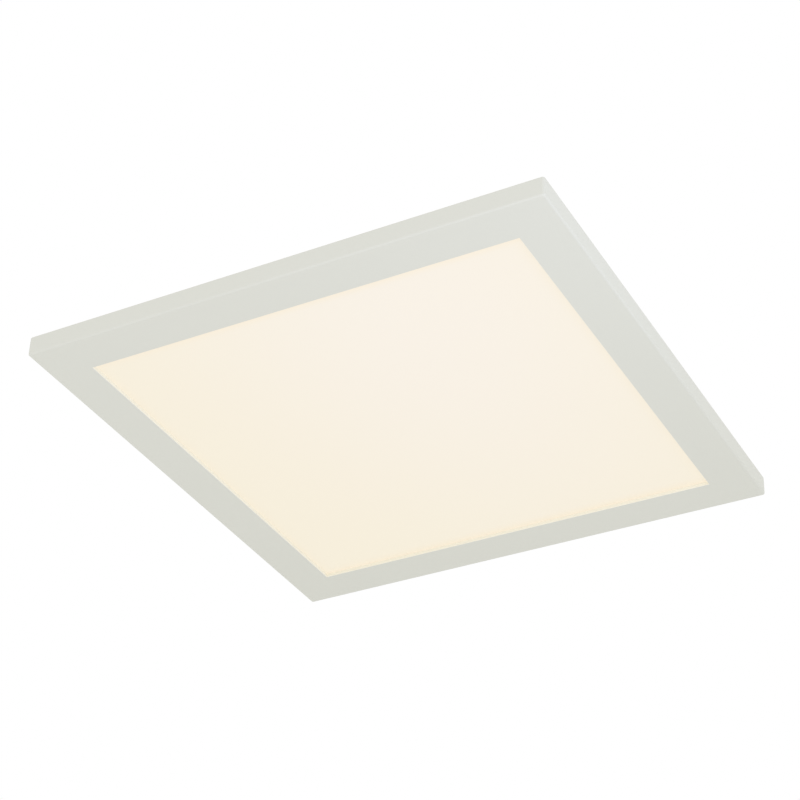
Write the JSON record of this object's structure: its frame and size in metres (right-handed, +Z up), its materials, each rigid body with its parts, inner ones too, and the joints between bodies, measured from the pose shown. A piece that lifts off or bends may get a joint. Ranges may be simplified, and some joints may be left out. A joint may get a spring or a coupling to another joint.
{
  "type": "flush mount ceiling light",
  "caption": "Square edge-lit panel light with a broad flat white frame and recessed opal face, clipped to a slotted ceiling plate.",
  "frame": {"origin": "centre of the ceiling plate's upper face, in the plane of the ceiling, midway between the four screw slots", "axes": "+Z up into the ceiling, so the lit face looks along -Z; +X and +Y along the sides of the square, with the LED strips at -X and +X and the driver on the +Y side"},
  "size_m": [0.295, 0.295, 0.05],
  "materials": {
    "black_lead": "insulated copper lead",
    "black_rubber": "matt",
    "blue_lead": "insulated copper lead",
    "brown_lead": "insulated copper lead",
    "button_blue": "moulded polyamide",
    "button_brown": "moulded polyamide",
    "button_green": "moulded polyamide",
    "capacitor_sleeve": "shrink sleeve",
    "case_plastic": "white moulded case",
    "choke_coil": "enamelled copper on a ring core",
    "clear_acrylic": "clear, polished edges",
    "ferrite": "ground ferrite",
    "frame_white": "fine satin texture, moulded polycarbonate blend",
    "green_board": "green solder mask",
    "green_yellow_lead": "insulated copper lead",
    "grey_foam": "closed-cell foam sheet",
    "led_phosphor": "yellow phosphor under clear resin",
    "opal_acrylic": "lit opal, soft sheen",
    "painted_aluminium": "white powder coat on aluminium sheet",
    "painted_steel": "white powder coat on sheet steel",
    "plain_aluminium": "mill finish",
    "red_lead": "insulated copper lead",
    "reflector_film": "white film",
    "screw_zinc": "bright zinc plated",
    "spring_steel": "blued spring steel",
    "terminal_grey": "moulded polyamide",
    "tinned_copper": "tinned copper strip",
    "white_board": "white solder mask",
    "white_lead": "insulated copper lead",
    "white_rubber": "matt",
    "yellow_tape": "polyester tape over copper wire",
    "zinc_plate": "zinc plated sheet steel"
  },
  "bodies": {
    "ceiling_mount": {"ceiling_plate": "zinc_plate", "cable_bushing": "black_rubber", "spring_clip_right": "spring_steel", "spring_clip_left": "spring_steel", "clip_rivets": "plain_aluminium"},
    "luminaire": {"front_frame": "frame_white", "opal_diffuser": "opal_acrylic", "light_guide": "clear_acrylic", "reflector_sheet": "reflector_film", "foam_pad": "grey_foam", "back_plate": "painted_aluminium", "back_plate_screws": "screw_zinc", "heat_spreader_right": "plain_aluminium", "heat_spreader_left": "plain_aluminium", "led_board_right": "white_board", "led_board_left": "white_board", "led_chips_right": "led_phosphor", "led_chips_left": "led_phosphor", "clinch_nuts": "screw_zinc", "rear_housing": "painted_steel", "housing_screws": "screw_zinc", "lead_grommet": "white_rubber", "driver_base": "case_plastic", "driver_lid": "case_plastic", "driver_board": "green_board", "driver_transformer": "ferrite", "transformer_winding": "yellow_tape", "driver_capacitors": "capacitor_sleeve", "driver_choke": "choke_coil", "driver_screws": "screw_zinc", "terminal_block": "terminal_grey", "terminal_contacts": "tinned_copper", "terminal_screws": "screw_zinc", "earth_washer": "screw_zinc", "earth_ring": "tinned_copper", "earth_screw": "screw_zinc", "earth_lead": "green_yellow_lead", "live_lead": "brown_lead", "neutral_lead": "blue_lead", "dc_lead_positive": "red_lead", "dc_lead_negative": "black_lead", "strip_link_lead": "white_lead"},
    "live_button": {"live_release_button": "button_brown"},
    "neutral_button": {"neutral_release_button": "button_blue"},
    "earth_button": {"earth_release_button": "button_green"}
  },
  "joints": [
    {"name": "luminaire_release", "type": "slide", "parent": "ceiling_mount", "child": "luminaire", "axis": [0, 0, -1], "range_m": [0, 0.06], "deforming": ["spring_clip_left", "spring_clip_right"]},
    {"name": "live_button_press", "type": "slide", "parent": "luminaire", "child": "live_button", "axis": [0, 0, -1], "range_m": [0, 0.0015], "stiffness_N_per_m": 2000},
    {"name": "neutral_button_press", "type": "slide", "parent": "luminaire", "child": "neutral_button", "axis": [0, 0, -1], "range_m": [0, 0.0015], "stiffness_N_per_m": 2000},
    {"name": "earth_button_press", "type": "slide", "parent": "luminaire", "child": "earth_button", "axis": [0, 0, -1], "range_m": [0, 0.0015], "stiffness_N_per_m": 2000}
  ]
}
